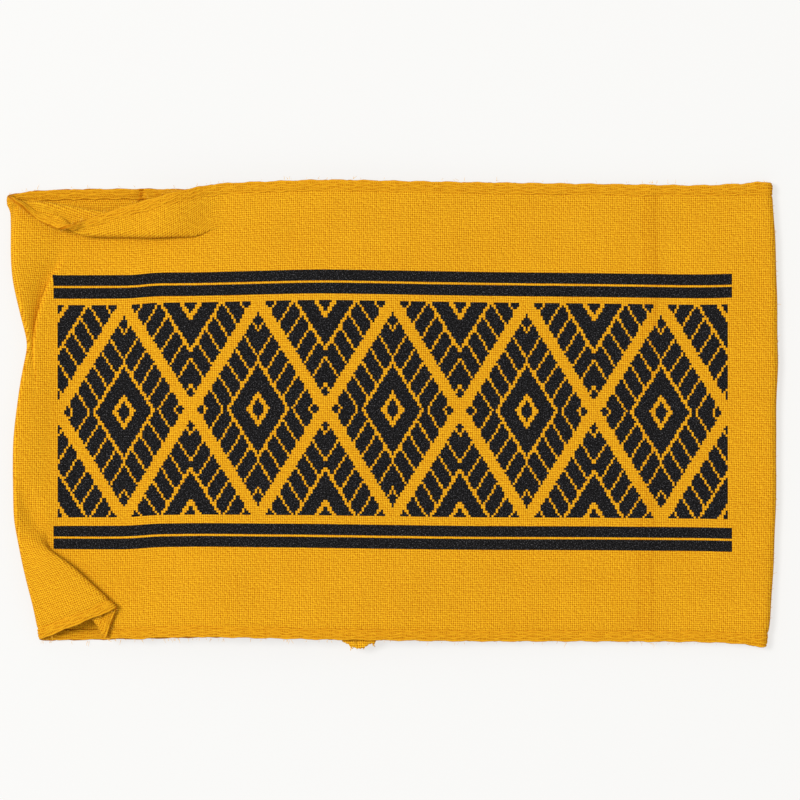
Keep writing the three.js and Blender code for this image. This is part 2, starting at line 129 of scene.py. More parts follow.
# The net's columns in front and behind.
FRONT_COLUMNS = np.array([
    -62, -59, -56, -53, -49.8, -45, -37, -28, -18, -8, 4, 16, 28, 40, 52, 61,
    65.6, CREASE_RIB, 69, 73, 82, 91,
])
BACK_COLUMNS = np.array([88, 68, 46, 24, 8, -8, -26, -46, -64, -80, -90.0])
# The upper left corner, folded down: where its lines lie along the fold, and where it is a flat strip, 1,
# or a roll, 0.
CORNER_START = -44.6
CORNER_TURN = 5.0
CORNER_ONSET = 14.0
CORNER_TIP = 56.0
CORNER_FADE = 8.0
TIP_ROWS_FIRST, TIP_ROWS_STEP = -1.6, 0.27
CORNER_FOLD = table(
    "along valley_y ridge_x ridge_y hem_x hem_y strip",
    (0, 47.5, -44.6, 46.8, -44.6, 60.3, 1), (4, 48.2, -48.6, 46.8, -48.6, 59.6, 1),
    (12, 49.7, -57, 46.6, -57, 57.6, 1), (20, 51.1, -65.4, 46.4, -65.2, 55.3, 1),
    (28, 52.5, -73.8, 46.6, -73.4, 52.8, 1), (34, 53.2, -80.1, 46.8, -79.5, 50.5, 1),
    (37, 53.7, -83, 46.9, -82.5, 49.3, 0.75), (40.3, 54.2, -86.2, 47.7, -85.9, 48, 0.2),
    (45, 54.9, -90.6, 50, -90.6, 50.1, 0), (49, 55.4, -94.3, 52.3, -94.3, 52.4, 0),
    (54, 55.9, -98.5, 54.5, -98.5, 54.6, 0), (56, 56.1, -99.6, 55.1, -99.6, 55.2, 0),
)
BEFORE_VALLEY, VALLEY, RIDGE, HEM = 0, 1, 2, 3
# The net's rows through that corner, in the order of the folded cloth.
CORNER_ROWS = table(
    "line share layers ramp rolled stand",
    (BEFORE_VALLEY, 0, 0, 0, 0, 0), (VALLEY, 0, 0, 0.1, 0, 0), (VALLEY, 0, 1, 0.55, 0, 0),
    (VALLEY, 0.22, 1, 0.85, 0.14, 0), (VALLEY, 0.78, 1, 1.15, 0.26, 0), (RIDGE, 0, 1, 1.45, 0.36, 0.05),
    (RIDGE, 0, 2, 1.9, 0.43, 0.13), (RIDGE, 0.4, 2, 2, 0.5, 0.24), (HEM, 0, 2, 2, 0.58, 0.36),
    (HEM, 1, 2, 2, 1, 1),
)
CORNER_BEND = 1.5
UPPER_LAYER_RISE = 1.8
STAND_AT_STRIP, STAND_AT_TIP = 3.0, 2.8
FLAT_LAYER_FROM, FLAT_LAYER_TO = 1.5, 5.0
ROW_HEIGHTS = np.concatenate([
    [0.0], [HEM_WIDTH], np.linspace(HEM_WIDTH, PLEAT_HEIGHT, 8)[1:], np.linspace(PLEAT_HEIGHT, 46, 7)[1:],
    [54, 62, 70, 73, 76, 79], np.linspace(79, 100, 6)[1:], [104],
    [106, 107, 107.4, 107.8, 108.2, 108.6, 109, 112.3, BAND_HEIGHT - HEM_WIDTH, BAND_HEIGHT],
])
FIRST_CORNER_ROW = len(ROW_HEIGHTS) - 10
# The two ends of the strip, sewn together behind and pressed apart.
SEAM_PLACE, SEAM_HALF_WIDTH = -8.8, 4.6
SEAM_BOTTOM, SEAM_TOP = 1.5, 57.5
# From the plan to the frame that the solids stand in, read off the one whose place on the plan is square.
seam_box = np.array(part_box("back_seam")) / MM
PLAN_SHIFT = np.array([
    seam_box[:, 0].mean() - SEAM_PLACE,
    seam_box[1, 1] - SEAM_TOP,
    seam_box[0, 2] - SEAM_BOTTOM,
])


def mix(a, b, share):
    return a + (b - a) * share


def smooth(value):
    share = np.clip(value, 0, 1)
    return share * share * (3 - 2 * share)


def read(rows, key, column, place):
    """A table's column at places between its rows."""
    return np.interp(place, rows[key], rows[column])


def points(*parts):
    return np.stack(np.broadcast_arrays(*parts), axis=-1)


def unit(vectors):
    return vectors / np.linalg.norm(vectors, axis=-1, keepdims=True)


def steps_around(place):
    """From each column to the next, and from the last one back to the first."""
    return np.linalg.norm(np.diff(place, axis=1, append=place[:, :1]), axis=-1)


def steps_up(place):
    return np.linalg.norm(np.diff(place, axis=0), axis=-1)


def place_of(height, x, side):
    """Where a height on the flat cloth lies, in front or behind."""
    lower = read(HEM_LINES, "x", side + "_lower", x)
    upper = read(HEM_LINES, "x", side + "_upper", x)
    return mix(lower, upper, height / BAND_HEIGHT)


def front_height(x, y):
    """The front's own height: the roll's at the left end, then the table's."""
    share = smooth((x - read(LEFT_END, "y", "x", y)) / LEFT_ROLL_REACH)
    return mix(read(LEFT_END, "y", "top", y), read(FRONT_HEIGHTS, "x", "z", x), share)


def layers_of(part, length):
    """Layer pitches that a fold's line stands up; where the middle layer is short, it slopes."""
    flat = smooth((length - FLAT_LAYER_FROM) / (FLAT_LAYER_TO - FLAT_LAYER_FROM))
    return mix(part["ramp"], part["layers"], flat)


def plain_front():
    """The front right of the pleat: places from the hem lines, heights from the table, and the rib."""
    height = ROW_HEIGHTS[:, None]
    x = FRONT_COLUMNS[None, :]
    y = place_of(height, x, "front")
    return points(x, y, front_height(x, y) + CREASE_RISE * (x == CREASE_RIB))


def pleated_front():
    """The columns at the left end: plain with the tuck pressed in, then folded towards the hem.

    The pleat's lines all start at one point, so a row crosses each at the same share of its length.
    """
    part = PLEAT_COLUMNS
    height = ROW_HEIGHTS[:, None]
    y = place_of(height, LEFT_END["x"][0], "front")
    edge_x = read(LEFT_END, "y", "x", y)
    drop = read(TUCK, "y", "drop", y)
    start = edge_x + part["inset"] * read(TUCK, "y", "inset", y)
    x = np.where(part["layer"] == FRONT, mix(start, FRONT_COLUMNS[0], part["share"]), start)
    dip = read(PLEAT_DIP, "y", "depth", y + PLEAT_DIP_SLANT * part["inset"]) * part["dip"]
    plain_z = front_height(x, y) - part["drop"] * drop - dip
    plain = points(x + TUCK_OVERHANG * part["overhang"] * drop, y, plain_z)

    down = np.clip((PLEAT_HEIGHT - height) / PLEAT_HEIGHT, 0, 1)
    ridge = mix(PLEAT_START, PLEAT_RIDGE_AT_HEM, down[..., None])
    valley = mix(PLEAT_START, PLEAT_VALLEY_AT_HEM, down[..., None])
    edge_top = read(LEFT_END, "y", "top", y)
    base = front_height(valley[..., 0], valley[..., 1])
    lift = LAYER_PITCH * layers_of(part, np.linalg.norm(ridge - valley, axis=-1)) - dip
    share = part["share"][None, :, None]
    flap = mix(points(edge_x, y), ridge, share)
    flap_z = mix(edge_top, base + lift, smooth(part["share"] / FLAP_RISE))
    under = mix(ridge, valley, share)
    on_x = mix(valley[..., 0], FRONT_COLUMNS[0], part["share"])
    on_y = mix(valley[..., 1], y, part["share"])
    on_z = front_height(on_x, valley[..., 1]) + lift
    folded = np.select(
        [(part["layer"] == FLAP)[:, None], (part["layer"] == UNDER)[:, None]],
        [points(flap[..., 0], flap[..., 1], flap_z), points(under[..., 0], under[..., 1], base + lift)],
        points(on_x, on_y, on_z),
    )
    return mix(plain, folded, smooth(down / PLEAT_ONSET)[..., None])


def fold_corner(front):
    """Folds the top rows down over the corner: a valley, a ridge and the hem, each read from the table
    by how far along the fold the column stands, with the layers one pitch above each other."""
    part = {name: column[:, None] for name, column in CORNER_ROWS.items()}
    plain = front[FIRST_CORNER_ROW:]
    x = plain[0, :, 0][None, :]
    along = CORNER_START - x
    at = {name: read(CORNER_FOLD, "along", name, along) for name in CORNER_FOLD}
    valley, ridge = points(x, at["valley_y"]), points(at["ridge_x"], at["ridge_y"])
    hem = points(at["hem_x"], at["hem_y"])
    to_hem = np.linalg.norm(ridge - hem, axis=-1)
    hem_start = mix(hem, ridge, (HEM_WIDTH / np.maximum(to_hem, HEM_WIDTH))[..., None])
    share = part["share"][..., None]
    line = part["line"][..., None]
    before = mix(points(x, at["valley_y"] - CORNER_BEND), valley, share)
    folded = np.select(
        [line == BEFORE_VALLEY, line == VALLEY, line == RIDGE],
        [before, mix(valley, ridge, share), mix(ridge, hem_start, share)],
        mix(hem_start, hem, share),
    )
    rolled = mix(valley, hem, part["rolled"][..., None])
    turned = np.where(line == BEFORE_VALLEY, folded, mix(rolled, folded, at["strip"][..., None]))
    step = np.arange(len(plain))[:, None]
    open_y = at["valley_y"] + TIP_ROWS_FIRST + TIP_ROWS_STEP * step
    reach = read(LEFT_END, "y", "x", open_y) - read(LEFT_END, "y", "x", plain[0, :, 1])
    straight = points(x + reach, open_y)
    tip = smooth((CORNER_TIP - along) / CORNER_FADE)
    place = mix(straight, turned, tip[..., None])
    layers = layers_of(part, np.linalg.norm(valley - ridge, axis=-1))
    lift = mix(np.minimum(layers, 1), layers, smooth(at["strip"] * UPPER_LAYER_RISE)) * LAYER_PITCH
    z = front_height(place[..., 0], place[..., 1]) + lift * tip
    fold_z = mix(plain[..., 2], z, smooth(along / CORNER_ONSET))
    fold_place = mix(plain[..., :2], place, smooth(along / CORNER_TURN)[..., None])
    # Half way between two forms the cloth stands up most: 4 s (1 - s) is 1 there.
    turning = STAND_AT_STRIP * at["strip"] * (1 - at["strip"]) + STAND_AT_TIP * tip * (1 - tip)
    point = points(fold_place[..., 0], fold_place[..., 1], fold_z + part["stand"] * 4 * turning)
    return np.where(along[..., None] > 0, point, plain)


def control_net():
    """Rows from hem to hem; columns along the front, round the right fold, along the back and round the
    left roll, and through the pleat to the front again."""
    height = ROW_HEIGHTS[:, None]
    both = np.concatenate([pleated_front(), plain_front()], axis=1)
    both[FIRST_CORNER_ROW:] = fold_corner(both)
    pleat, front = np.split(both, [len(PLEAT_COLUMNS["inset"])], axis=1)
    right_y, right_top = front[:, -1:, 1], front[:, -1:, 2]
    right = read(RIGHT_END, "y", "x", right_y)
    right_back = place_of(height, right, "back")
    right_fold = np.concatenate([
        points(right - RIGHT_FOLD_DEPTH, right_y, right_top),
        points(right, right_y, right_top),
        points(right, right_back, MIDDLE_OF_BACK),
        points(right - RIGHT_FOLD_DEPTH, right_back, MIDDLE_OF_BACK),
    ], axis=1)
    back = points(BACK_COLUMNS[None, :], place_of(height, BACK_COLUMNS[None, :], "back"), MIDDLE_OF_BACK)
    left = pleat[:, :1, 0] + np.array([[LEFT_ROLL_DEPTH, 0]])
    left_roll = points(left, place_of(height, left, "back"), MIDDLE_OF_BACK)
    return np.concatenate([front, right_fold, back, left_roll, pleat], axis=1)


def spline_weights(f):
    """A uniform cubic B-spline's weights for the four net lines round a place."""
    return np.stack([
        (1 - f) ** 3 / 6,
        (3 * f ** 3 - 6 * f ** 2 + 4) / 6,
        (-3 * f ** 3 + 3 * f ** 2 + 3 * f + 1) / 6,
        f ** 3 / 6,
    ], axis=-1)


def spline_slopes(f):
    return np.stack([
        -((1 - f) ** 2) / 2,
        (3 * f ** 2 - 4 * f) / 2,
        (-3 * f ** 2 + 2 * f + 1) / 2,
        f ** 2 / 2,
    ], axis=-1)


NET = control_net()
ROWS, COLUMNS = NET.shape[:2]
# A row past either hem, straight on, and the columns closed on themselves.
OPEN_NET = np.concatenate([2 * NET[:1] - NET[1:2], NET, 2 * NET[-1:] - NET[-2:-1]])
CLOSED_NET = np.concatenate([OPEN_NET[:, -1:], OPEN_NET, OPEN_NET[:, :2]], axis=1)


def blend(u, v, weights_u, weights_v):
    """The surface at v rows by u columns: the sum of 4 by 4 net points, each with its two weights."""
    column, row = np.floor(u).astype(int), np.minimum(np.floor(v).astype(int), ROWS - 2)
    across = np.zeros((len(u), CLOSED_NET.shape[1]))
    up = np.zeros((len(v), CLOSED_NET.shape[0]))
    np.put_along_axis(across, column[:, None] + np.arange(4), weights_u(u - column), axis=1)
    np.put_along_axis(up, row[:, None] + np.arange(4), weights_v(v - row), axis=1)
    return np.einsum("vr,rcx,uc->vux", up, CLOSED_NET, across, optimize=True)


# How far the roll's edge is pushed in or out under the upper tip, which is rounder than the solid's.
NOSE = table(
    "y shift",
    (40, 0), (45, 0.15), (49.8, 0.25), (50.8, 0.45), (52.3, 0.7), (53.8, 0.57), (54.6, 0.15), (55.3, -0.1),
    (56.1, 0.25),
)
NOSE_FROM, NOSE_FADE = -94.0, 5.0


def middle_surface(u, v):
    """The middle of the cloth and its unit normal, which points out of the loop."""
    middle = blend(u, v, spline_weights, spline_weights)
    near_edge = smooth((NOSE_FROM - middle[..., 0]) / NOSE_FADE)
    middle[..., 0] += read(NOSE, "y", "shift", middle[..., 1]) * near_edge
    slope_along = blend(u, v, spline_slopes, spline_weights)
    slope_up = blend(u, v, spline_weights, spline_slopes)
    return middle, unit(np.cross(slope_along, slope_up))


def places(lengths, spacing, least):
    """Places along net lines: each step between two lines is shared into parts of about the spacing."""
    parts = np.maximum(least, np.ceil(lengths / spacing)).astype(int)
    return np.concatenate([i + np.arange(n) / n for i, n in enumerate(parts)])


# How far apart the surface's points are, and into how many parts a step of the net is shared at least.
FRONT_SPACING, BACK_SPACING, ROW_SPACING = 1.2, 4.0, 1.15
LONGEST_ROW_STEP = 9.5
LEAST_PARTS = 3
AROUND, UP = steps_around(NET).max(axis=0), steps_up(NET).max(axis=1)
BACK_START = len(FRONT_COLUMNS) + 3
BACK_END = BACK_START + len(BACK_COLUMNS)
SPACING = np.full(COLUMNS, FRONT_SPACING)
SPACING[BACK_START:BACK_END] = BACK_SPACING
U = places(AROUND / SPACING, 1, LEAST_PARTS)
V = places(np.minimum(UP, LONGEST_ROW_STEP), ROW_SPACING, LEAST_PARTS)
V = np.append(V, ROWS - 1.0)


def cloth_plan(u, v):
    """Where each point lies on the flat cloth, in mm: along the loop as length along its row from the
    front's middle, and up as its rows' own heights, blended as the net is. Past the last plain row, where
    the rows are drawn together or apart in the fold, up goes on as length along the column."""
    middle, _ = middle_surface(u, v)
    along = np.concatenate([np.zeros((len(v), 1)), np.cumsum(steps_around(middle), axis=1)], axis=1)
    off_middle = np.where(u > len(FRONT_COLUMNS), np.inf, abs(middle[:, :, 0]))
    nearest = np.argmin(off_middle, axis=1)[:, None]
    nearest_x = np.take_along_axis(middle[..., 0], nearest, axis=1)
    along -= np.take_along_axis(along, nearest, axis=1) - nearest_x
    open_heights = np.concatenate([[-HEM_WIDTH], ROW_HEIGHTS, [BAND_HEIGHT + HEM_WIDTH]])
    row = np.minimum(v.astype(int), ROWS - 2)
    height = np.sum(spline_weights(v - row) * open_heights[row[:, None] + np.arange(4)], axis=1)
    length = np.concatenate([np.zeros((1, len(u))), np.cumsum(steps_up(middle), axis=0)])
    last_plain = int(np.searchsorted(v, FIRST_CORNER_ROW - 2))
    past = np.arange(len(v))[:, None] > last_plain
    return along, np.where(past, height[last_plain] + length - length[last_plain], height[:, None])


# Between which net columns the seam and the pucker lie behind, with points closer together.
SEAM_COLUMNS, PUCKER_COLUMNS = (30.93, 31.13), (33.98, 34.22)
U = np.unique(np.concatenate([U, np.linspace(*SEAM_COLUMNS, 9), np.linspace(*PUCKER_COLUMNS, 11)]))
PLAN_ALONG, PLAN_UP = cloth_plan(U, V)
FIRST_PAST_SEAM = int(np.searchsorted(U, np.mean(SEAM_COLUMNS)))


def plan_at(v):
    """The flat cloth's coordinates at other rows than the worked-out ones."""
    row = np.clip(np.searchsorted(V, v, side="right") - 1, 0, len(V) - 2)
    share = ((v - V[row]) / (V[row + 1] - V[row]))[:, None]
    return mix(PLAN_ALONG[row], PLAN_ALONG[row + 1], share), mix(PLAN_UP[row], PLAN_UP[row + 1], share)


# What lies on the table is pressed flat this far over it.
LOWEST = 0.04


def put_mesh(name, place, faces, uv, uv_name="cloth"):
    """A piece from points in mm on the plan, four-sided faces and each corner's place on its flat map."""
    mesh = bpy.data.meshes.new(name)
    place = np.maximum(place.reshape(-1, 3) + PLAN_SHIFT, [-np.inf, -np.inf, LOWEST]) * MM
    faces = faces.reshape(-1, 4)
    mesh.vertices.add(len(place))
    mesh.vertices.foreach_set("co", place.ravel())
    mesh.loops.add(faces.size)
    mesh.loops.foreach_set("vertex_index", faces.ravel())
    mesh.polygons.add(len(faces))
    mesh.polygons.foreach_set("loop_start", np.arange(0, faces.size, 4))
    mesh.uv_layers.new(name=uv_name).data.foreach_set("uv", uv.ravel() * MM)
    mesh.update(calc_edges=True)
    mesh.shade_smooth()
    piece = bpy.data.objects.new(name, mesh)
    bpy.context.scene.collection.objects.link(piece)
    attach(piece, "root")
    return piece


def ring_faces(ring, around):
    """Faces between a closed ring of points and the next one round the loop."""
    here = np.arange(ring)[:, None] * around + np.arange(around)
    there = np.roll(here, -1, axis=1)
    return np.stack([here, there, np.roll(there, -1, axis=0), np.roll(here, -1, axis=0)], axis=-1)


def loop_wall(name, place, along, up):
    """A closed wall round the whole loop. Its cloth coordinates break at the seam behind."""
    length = along[:, -1:] - along[:, :1]
    past = length * (np.arange(place.shape[1]) >= FIRST_PAST_SEAM)
    left, right = along[:, :-1] - past, along[:, 1:] - past
    up_right = np.roll(up, -1, axis=1)
    here, there = points(left, up), points(right, up_right)
    uv = np.stack([here, there, np.roll(there, -1, axis=0), np.roll(here, -1, axis=0)], axis=2)
    return put_mesh(name, place, ring_faces(*place.shape[:2]), uv)


# Where the upper hem's stitches have puckered the cloth behind: how wide, how deep in the cloth and in
# the hem, and how far down.
PUCKER_PLACE, PUCKER_WIDTH = -65.4, 0.9
PUCKER_DEPTH, PUCKER_DENT = 0.5, 0.4
PUCKER_REACH, PUCKER_FADE = 12.0, 9.0
# How deep and wide the stitches draw the cloth in along both hem lines and along the seam.
HEM_PULL, HEM_PULL_WIDTH = 0.3, 0.9
SEAM_GROOVE, SEAM_GROOVE_WIDTH = 0.32, 0.5
# Low waves of the cloth: height, length along the band and up it, and phase.
WAVES = (0.05, 23.0, 61.0, 0.0), (0.025, 11.3, -47.0, 1.3), (0.05, 71.0, -17.0, 0.4)
# Where the cloth between the hems starts in net rows, and its next points at the nearest.
BAND_START, BAND_NEXT = 0.86, 0.9
# How far the hems' edges stand out round the pressed fold.
HEM_NUBS = table("x lower upper", (91, 0, 0), (95.5, 0.75, 0.35), (100, 0.75, 0.35))


def bell(place, middle, width):
    """1 in the middle, and down to nothing on both sides: exp(-((place - middle) / width) ** 2)."""
    return np.exp(-((place - middle) / width) ** 2)


def is_behind(u):
    return (u > BACK_START) & (u < BACK_END)


def pucker(middle, u):
    """How much the cloth is puckered: a bell curve along the band, only behind."""
    return bell(middle[..., 0], PUCKER_PLACE, PUCKER_WIDTH) * is_behind(u)


def relief(along, up, middle):
    """Low waves of the front, as a sum of sines over the flat cloth, and the groove of the seam behind."""
    waves = sum(
        height * np.sin(2 * np.pi * (along / length + up / rise) + phase)
        for height, length, rise, phase in WAVES
    )
    behind = is_behind(U)
    groove = SEAM_GROOVE * bell(middle[..., 0], SEAM_PLACE, SEAM_GROOVE_WIDTH) * behind
    return waves * ~behind, groove


def make_band():
    """The cloth between the two hem lines: outer and inner skin at half the thickness from the middle,
    both drawn in along the hem lines, where the stitches pull, and the inner one at the pucker."""
    v = V[(V > BAND_NEXT) & (V < ROWS - 1 - BAND_NEXT)]
    v = np.concatenate([[BAND_START], v, [ROWS - 1 - BAND_START]])
    middle, normal = middle_surface(U, v)
    along, up = plan_at(v)
    waves, groove = relief(along[:, :-1], up, middle)
    from_hem = np.minimum(up - up[:1], up[-1:] - up)
    pull = HEM_PULL * bell(from_hem, 0, HEM_PULL_WIDTH)
    half = CLOTH_THICKNESS / 2
    near_hem = smooth((up - BAND_HEIGHT + PUCKER_REACH) / PUCKER_FADE)
    puckered = PUCKER_DEPTH * pucker(middle, U) * near_hem
    outer = middle + normal * (half + waves - groove - pull)[..., None]
    inner = middle - normal * (half - waves - pull - puckered)[..., None]
    wall = np.concatenate([outer, inner[::-1]])
    along, up = (np.concatenate([rows, rows[::-1]]) for rows in (along, up))
    return loop_wall("band_cloth", wall, along, up)


def rounded(angle, power):
    """A superellipse's two coordinates: cosine and sine, each drawn towards 1 by the power."""
    return tuple(np.sign(wave) * abs(wave) ** power for wave in (np.cos(angle), np.sin(angle)))


def sine(place, wave, phase=0.0):
    """A sine of this wave's length."""
    return np.sin(2 * np.pi * place / wave + phase)


# The hem's ring: points, superellipse's power, half thickness, how far it lies inside, how far its edge
# waves in and out, and how much it swells.
HEM_RING, HEM_POWER, HEM_HALF, HEM_SINK = 20, 0.7, 0.6, 0.09
HEM_WAVE, HEM_SWELL = 0.06, 0.05


def make_hem(name, first_row, edge_side):
    """A rolled hem: a flat rounded ring carried round the loop, with its edge drawn in and out in waves."""
    angle = np.pi - np.arange(HEM_RING) * 2 * np.pi / HEM_RING
    across, out = rounded(angle, HEM_POWER)
    share = (1 + across) / 2
    v = first_row + share
    middle, normal = middle_surface(U, v)
    along, up = plan_at(v)
    near_edge = (share if edge_side > 0 else 1 - share)[:, None] ** 2
    rise = np.gradient(middle_surface(U, first_row + np.array([0.0, 0.5, 1.0]))[0], axis=0)[1]
    outwards = edge_side * unit(rise)
    flat = along[:, :-1]
    nub = read(HEM_NUBS, "x", "upper" if edge_side > 0 else "lower", middle[..., 0])
    short = sine(flat, 3.7) * sine(flat, 29)
    wave = nub + HEM_WAVE * short + HEM_WAVE * sine(flat, 13.7, 2)
    dent = PUCKER_DENT * pucker(middle, U) * (edge_side > 0)
    swell = 1 + HEM_SWELL * sine(flat, 6.1, 1)
    thick = -HEM_SINK + (HEM_HALF * swell - dent) * out[:, None]
    place = middle + normal * thick[..., None] + outwards * (wave * near_edge)[..., None]
    return loop_wall(name, place, along, up)


STRAND_RADIUS = 0.29
STRAND_SIDES = 6
STRAND_PLACES, STRAND_GAP = 700, 0.02
# The crown's place on the strand's own map, in metres, where the painted highlight is; its ring is 1 mm
# round there.
STRAND_CROWN = 0.00075
# How high a strand lies over the cloth's middle on each face and behind, and how it falls to the sides.
CROWN_OUTSIDE, CROWN_INSIDE, CROWN_BEHIND, CROWN_FALL = 0.34, 0.5, 0.05, 2.0
# How far a strand sways and rises, and the shorter waves as shares of its own.
LONG_SWAY, SHORT_SWAY, STRAND_RISE = 0.09, 0.03, 0.04
SHORT_WAVE, RISE_WAVE = 0.37, 0.8
# Into how many steps the hem's width is shared.
HEM_STEPS = 8
# Where a strand lies over the hem's width, its wave's length and phase, and its face of the cloth.
STRANDS = table(
    "line wave phase face",
    (0.07, 7.3, 0.0, 1), (0.34, 5.4, 1.9, 1), (0.62, 6.8, 4.1, 1), (0.9, 5.9, 2.6, 1),
    (0.12, 6.1, 0.8, -1), (0.5, 7.3, 3.0, -1), (0.86, 5.2, 5.0, -1),
)


def make_hem_strands(name, first_row, edge_side):
    """The long waving threads of the edge: tubes round the loop, each along its own line of the hem,
    which a sine moves across, and a second sine lifts above and under its neighbours."""
    u = np.unique(np.concatenate([U, np.linspace(0, COLUMNS, STRAND_PLACES, endpoint=False)]))
    u = u[np.concatenate([[True], np.diff(u) > STRAND_GAP])]
    middle, normal = middle_surface(u, first_row + np.linspace(0, 1, HEM_STEPS + 1))
    along = np.concatenate([[0.0], np.cumsum(steps_around(middle)[HEM_STEPS // 2])])
    turn = 2 * np.pi * along[:-1]
    line, wave, phase, face = (STRANDS[key][:, None] for key in ("line", "wave", "phase", "face"))
    sway = np.sqrt(4 * line * (1 - line))
    long_wave, short_wave = np.sin(turn / wave + phase), np.sin(turn / (wave * SHORT_WAVE) + 3 * phase)
    share = line + sway * (LONG_SWAY * long_wave + SHORT_SWAY * short_wave)
    share = np.clip(share if edge_side < 0 else 1 - share, 0, 1) * HEM_STEPS
    low = np.minimum(share.astype(int), HEM_STEPS - 1)
    column, part = np.arange(len(u)), (share - low)[..., None]
    centre = mix(middle[low, column], middle[low + 1, column], part)
    out = mix(normal[low, column], normal[low + 1, column], part) * face[..., None]
    crown = np.where(face > 0, CROWN_OUTSIDE, CROWN_INSIDE) - CROWN_FALL * abs(line - 0.5) ** 3
    crown = crown + STRAND_RISE * np.sin(turn / (wave * RISE_WAVE) + 2 * phase)
    crown = np.where(is_behind(u) & (face > 0), CROWN_BEHIND, crown)
    crown = crown - PUCKER_DENT * pucker(centre, u) * (edge_side > 0)
    nub = read(HEM_NUBS, "x", "upper" if edge_side > 0 else "lower", centre[..., 0])
    centre = centre + out * crown[..., None]
    centre[..., 1] += edge_side * nub * (share if edge_side > 0 else HEM_STEPS - share) / HEM_STEPS
    tangent = np.gradient(centre, axis=1)
    side = unit(np.cross(out, tangent))
    angle = -np.arange(STRAND_SIDES)[:, None, None] * 2 * np.pi / STRAND_SIDES
    place = centre[:, None] + STRAND_RADIUS * (np.cos(angle) * side[:, None] + np.sin(angle) * out[:, None])
    first = np.arange(len(line)) * STRAND_SIDES * len(u)
    faces = ring_faces(STRAND_SIDES, len(u)) + first[:, None, None, None]
    ring = np.arange(STRAND_SIDES)[:, None] / STRAND_SIDES
    here, there = points(along[:-1], ring), points(along[1:], ring)
    step = np.array([0, 1 / STRAND_SIDES])
    uv = np.stack([here, there, there + step, here + step], axis=2)
    return put_mesh(name, place, faces, np.broadcast_to(uv, (len(line), *uv.shape)), "strand")


# The ragged outline of the seam allowance's lower end, which shows below the hem as a short tongue.
TONGUE = table(
    "x y",
    (-4.9, -58.2), (-4.2, -58.8), (-3.5, -59.3), (-2.7, -59.6), (-2.1, -60), (-1.8, -60.6), (-1.3, -60.4),
    (-0.1, -60.9), (1, -60.8), (1.8, -60.6), (2.7, -59.9), (3.5, -59.5), (4.4, -59.6), (4.9, -58.6),
)
# Its free end curls up: by how much, from where on, and over which length.
TONGUE_RISE, TONGUE_BEND, TONGUE_CURL = 2.6, -55.5, 4.0
# Smaller notches in its end: depth, rate and phase.
NOTCHES = (0.12, 7.0, 0.0), (0.08, 13.0, 1.0)
# What it is wider than the solid's on each side, and the groove between its halves.
SEAM_EXTRA = 0.3
HALVES_GROOVE, HALVES_GROOVE_WIDTH = 0.28, 0.45


def make_seam_allowance():
    """The strip's two ends behind, pressed apart on the inside: a strip whose lower end follows the ragged
    outline, with rounded edges and a groove between its halves."""
    share = np.linspace(-1, 1, 45)
    x = (SEAM_HALF_WIDTH + SEAM_EXTRA) * share
    end = read(TONGUE, "x", "y", x)
    for depth, rate, phase in NOTCHES:
        end = end + depth * np.sin(x * rate + phase)
    # Places along the strip, closer together over the tongue.
    part = np.concatenate([np.linspace(0, 0.06, 16), np.linspace(0.075, 1, 40)])[:, None]
    y = mix(end, SEAM_TOP, part)
    edge = np.sqrt(np.clip(1 - abs(share) ** 10, 0, 1)) * smooth(part / 0.008 + 0.35)
    groove = HALVES_GROOVE * bell(x, 0, HALVES_GROOVE_WIDTH)
    half = CLOTH_THICKNESS / 2
    middle = SEAM_BOTTOM + half + TONGUE_RISE * smooth((TONGUE_BEND - y) / TONGUE_CURL)
    top = middle + (half - groove) * edge
    bottom = middle - half * edge
    upper, lower = points(x + SEAM_PLACE, y, top), points(x + SEAM_PLACE, y, bottom)
    rows, across = y.shape
    # One ring of points at each place along the strip: over the top and back underneath.
    ring = np.concatenate([upper, lower[:, ::-1]], axis=1)
    count = 2 * across
    first = np.arange(rows - 1)[:, None] * count
    here, there = first + np.arange(count), first + np.roll(np.arange(count), -1)
    sides = np.stack([here, there, there + count, here + count], axis=-1).reshape(-1, 4)
    top_edge = np.arange(across - 1)
    cap = np.stack([top_edge, count - 1 - top_edge, count - 2 - top_edge, top_edge + 1], axis=-1)
    faces = np.concatenate([sides, cap, (cap + (rows - 1) * count)[:, ::-1]])
    uv = ring.reshape(-1, 3)[faces][..., :2] + np.array([0, 60])
    return put_mesh("seam_allowance", ring, faces, uv)


# Threads that have come loose at the seam's ragged end: from where to where, and how far each bends.
RAGGED_THREADS = table(
    "x y end_x end_y bend",
    (-11.0, -58.6, -10.7, -61.4, 0.35), (-5.0, -58.8, -4.3, -60.4, -0.25), (-4.6, -59, -4.9, -60.2, 0.2),
    (-7.9, -59.6, -7.3, -61.1, 0.3), (-10.4, -59.4, -10.1, -61, -0.3),
)
# How high they start, how far they sink and arch upwards, and how thick they are.
RAGGED_START, RAGGED_FALL, RAGGED_ARCH, RAGGED_RADIUS = 4.0, 0.8, 0.2, 0.22
THREAD_STEPS, THREAD_SIDES = 5, 4
THREAD_TAPER = 0.6


